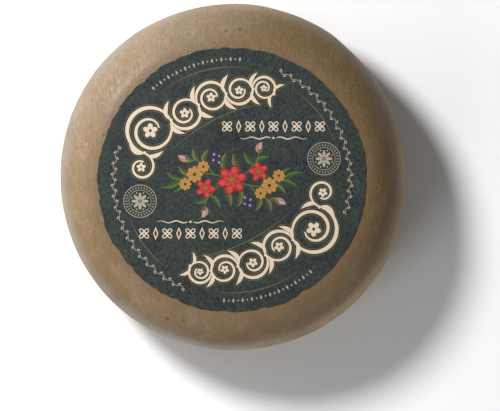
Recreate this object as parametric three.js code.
// A small farmhouse cheese wheel with a thin round label on its top face.
// Millimetres, +Z up. The origin is the middle of the flat underside, and +Y is the top of the label.

import * as THREE from "three";
import { mergeVertices } from "three/addons/utils/BufferGeometryUtils.js";

// The wheel: its widest diameter, its height at the middle of the top, how far the crown
// stands over the shoulder, and how far the rounded side reaches in from the widest circle.
const WHEEL_DIAMETER = 250;
const WHEEL_HEIGHT = 95;
const CROWN_RISE = 1.2;
const SIDE_REACH = 32;
const SIDE_SQUARENESS = 2.15; // 2 is an ellipse, and more is boxier

// How uneven the wheel is. A wave bulges by its depth at each of its lobes, the first one
// at its angle, counted in degrees from +X towards +Y.
const OUTLINE_WAVES = [
  { lobes: 2, depth: 0.42, at: -65 },
  { lobes: 3, depth: 0.27, at: -42 },
  { lobes: 4, depth: 0.37, at: -40 },
];
const HEIGHT_WAVES = [
  { lobes: 1, depth: 0.35, at: 120 },
  { lobes: 3, depth: 0.25, at: 15 },
];
const DENT_COUNT = 26;
const DENT_SEED = 7;
const DENT_RADIUS = [9, 17];
const DENT_DEPTH = [0.35, 0.95];
const DENT_LOWEST = -52; // degrees up the rounded side, where 0 is the widest circle
const DENT_HIGHEST = 48;

// The label: a round sheet, slightly oval and off centre, with a rough-cut edge.
const LABEL_RADIUS = 95.3;
const LABEL_CENTRE = { x: -0.7, y: -2.1 };
const LABEL_OVAL = { lobes: 2, depth: 0.8, at: 6 };
const LABEL_THICKNESS = 0.3;
const LABEL_GAP = 0.15; // the glue between the label and the rind
const CORNER_SEED = 23;
const CORNER_SPAN = [4, 14]; // degrees from one corner of the rough edge to the next
const CORNER_DEPTH = 0.62;
const CORNER_BULGE = 0.35;

// How finely the shapes are cut into faces.
const WHEEL_SEGMENTS = 108;
const SIDE_STEPS = 20;
const CROWN_RINGS = [0.88, 0.68, 0.36];
const FOOT_RINGS = [0.5];
const LABEL_SEGMENTS = 180;
const LABEL_RINGS = [0.35, 0.66, 0.86, 0.94, 0.975, 1];

const RADIUS = WHEEL_DIAMETER / 2;
const FLAT_RADIUS = RADIUS - SIDE_REACH;
const SHOULDER_HEIGHT = WHEEL_HEIGHT - CROWN_RISE;
const DEGREE = Math.PI / 180;

// A repeatable source of numbers from 0 to 1.
function seededRandom(seed) {
  let state = seed;
  return () => {
    state = (state * 1664525 + 1013904223) % 4294967296;
    return state / 4294967296;
  };
}

function between([low, high], share) {
  return low + (high - low) * share;
}

function waveSum(waves, angle) {
  return waves.reduce(
    (sum, wave) => sum + wave.depth * Math.cos(wave.lobes * (angle - wave.at * DEGREE)),
    0,
  );
}

// The rounded side is half a superellipse. Its point at a turn of -90 to 90 degrees:
// -90 is the edge of the flat underside, 0 the widest circle and 90 the edge of the crown.
function sidePoint(turn) {
  const power = 2 / SIDE_SQUARENESS;
  const out = Math.pow(Math.max(Math.cos(turn), 0), power);
  const up = Math.sign(turn) * Math.pow(Math.abs(Math.sin(turn)), power);
  return new THREE.Vector2(FLAT_RADIUS + SIDE_REACH * out, (SHOULDER_HEIGHT / 2) * (1 + up));
}

// The top face swells from the shoulder to its middle.
function crownHeight(radius) {
  return SHOULDER_HEIGHT + (CROWN_RISE / 2) * (1 + Math.cos((Math.PI * radius) / FLAT_RADIUS));
}

// The even wheel's upper surface at a distance from the axis.
function evenTop(radius) {
  if (radius <= FLAT_RADIUS) return crownHeight(radius);
  const out = Math.min((radius - FLAT_RADIUS) / SIDE_REACH, 1);
  const up = Math.pow(1 - Math.pow(out, SIDE_SQUARENESS), 1 / SIDE_SQUARENESS);
  return (SHOULDER_HEIGHT / 2) * (1 + up);
}

// Half of the wheel's section, from the middle of the underside to the middle of the top.
function wheelProfile() {
  const points = [new THREE.Vector2(0, 0)];
  for (const share of FOOT_RINGS) points.push(new THREE.Vector2(FLAT_RADIUS * share, 0));
  for (let i = 0; i <= SIDE_STEPS; i++) {
    points.push(sidePoint((i / SIDE_STEPS - 0.5) * Math.PI));
  }
  for (const share of CROWN_RINGS) {
    points.push(new THREE.Vector2(FLAT_RADIUS * share, crownHeight(FLAT_RADIUS * share)));
  }
  points.push(new THREE.Vector2(0, crownHeight(0)));
  return points;
}

// Shallow hollows in the rounded side, where the wheel has lain against boards and other wheels.
function makeDents() {
  const random = seededRandom(DENT_SEED);
  return Array.from({ length: DENT_COUNT }, (_, i) => {
    const angle = ((i + 0.8 * random()) / DENT_COUNT) * 2 * Math.PI;
    const turn = between([DENT_LOWEST, DENT_HIGHEST], random()) * DEGREE;
    const side = sidePoint(turn);
    return {
      centre: new THREE.Vector3(side.x * Math.cos(angle), side.x * Math.sin(angle), side.y),
      radius: between(DENT_RADIUS, random()),
      depth: between(DENT_DEPTH, random()),
    };
  });
}

const DENTS = makeDents();

// How much wider the wheel is than the even one at an angle, and how much taller.
function spreadAt(angle) {
  return 1 + waveSum(OUTLINE_WAVES, angle) / RADIUS;
}

function liftAt(angle) {
  return 1 + waveSum(HEIGHT_WAVES, angle) / WHEEL_HEIGHT;
}

// Moves a point of the even wheel's surface to its place on the uneven one.
function makeUneven(point) {
  const radius = Math.hypot(point.x, point.y);
  const angle = Math.atan2(point.y, point.x);
  const out = Math.max(radius - FLAT_RADIUS, 0) / SIDE_REACH;
  const up = (2 * point.z) / SHOULDER_HEIGHT - 1;
  const normal = new THREE.Vector3(
    Math.cos(angle) * (out / SIDE_REACH),
    Math.sin(angle) * (out / SIDE_REACH),
    up / (SHOULDER_HEIGHT / 2),
  ).normalize();
  let hollow = 0;
  for (const dent of DENTS) {
    const distance = point.distanceTo(dent.centre) / dent.radius;
    hollow += dent.depth * Math.exp(-distance * distance);
  }
  if (radius > FLAT_RADIUS) point.addScaledVector(normal, -hollow);
  point.x *= spreadAt(angle);
  point.y *= spreadAt(angle);
  point.z *= liftAt(angle);
}

// The uneven wheel's upper surface over a point, with its dents left out.
function topHeight(x, y) {
  const angle = Math.atan2(y, x);
  return evenTop(Math.hypot(x, y) / spreadAt(angle)) * liftAt(angle);
}

// The corners of the label's rough edge: where each one is, and how far out it stands.
function makeCorners() {
  const random = seededRandom(CORNER_SEED);
  const corners = [];
  for (let at = 0; at < 360 - CORNER_SPAN[0]; at += between(CORNER_SPAN, random())) {
    corners.push({ at: at * DEGREE, out: CORNER_DEPTH * (2 * random() - 1) });
  }
  corners.push({ at: 2 * Math.PI, out: corners[0].out });
  return corners;
}

const CORNERS = makeCorners();

// The label's radius at an angle: an oval, with a slight bulge from each corner to the next.
function labelRadius(angle) {
  const turn = (angle + 2 * Math.PI) % (2 * Math.PI);
  const next = Math.max(
    CORNERS.findIndex((corner) => corner.at > turn),
    1,
  );
  const [from, to] = [CORNERS[next - 1], CORNERS[next]];
  const share = (turn - from.at) / (to.at - from.at);
  const smooth = share * share * (3 - 2 * share);
  const rough = from.out + (to.out - from.out) * smooth + CORNER_BULGE * Math.sin(Math.PI * share);
  return LABEL_RADIUS + waveSum([LABEL_OVAL], angle) + rough;
}

// Half of the label's section as shares of its radius, out along its underside and back over its top.
function labelProfile() {
  const under = LABEL_RINGS.map((share) => new THREE.Vector2(share, 0));
  const over = [...LABEL_RINGS].reverse().map((share) => new THREE.Vector2(share, LABEL_THICKNESS));
  return [new THREE.Vector2(0, 0), ...under, ...over, new THREE.Vector2(0, LABEL_THICKNESS)];
}

// Lays a point of the flat label of radius 1 on the wheel.
function layOnTop(point) {
  const reach = labelRadius(Math.atan2(point.y, point.x));
  point.x = LABEL_CENTRE.x + point.x * reach;
  point.y = LABEL_CENTRE.y + point.y * reach;
  point.z += topHeight(point.x, point.y) + LABEL_GAP;
}

// A closed round solid from half of its section, with every point then moved by a rule.
function shapedSolid(profile, segments, movePoint) {
  const turned = new THREE.LatheGeometry(profile, segments).rotateX(Math.PI / 2);
  turned.deleteAttribute("normal");
  turned.deleteAttribute("uv");
  const solid = mergeVertices(turned, 1e-4);
  const position = solid.getAttribute("position");
  const point = new THREE.Vector3();
  for (let i = 0; i < position.count; i++) {
    point.fromBufferAttribute(position, i);
    movePoint(point);
    position.setXYZ(i, point.x, point.y, point.z);
  }
  solid.computeVertexNormals();
  return solid;
}

function makeWheel() {
  const rind = new THREE.MeshStandardMaterial({ color: 0x9c8465, roughness: 0.5, metalness: 0 });
  const wheel = new THREE.Mesh(shapedSolid(wheelProfile(), WHEEL_SEGMENTS, makeUneven), rind);
  wheel.name = "wheel";
  return wheel;
}

function makeLabel() {
  const paper = new THREE.MeshStandardMaterial({ color: 0x3e4744, roughness: 0.65, metalness: 0 });
  const label = new THREE.Mesh(shapedSolid(labelProfile(), LABEL_SEGMENTS, layOnTop), paper);
  label.name = "label";
  return label;
}

const cheese = new THREE.Group();
cheese.add(makeWheel(), makeLabel());

export default cheese;
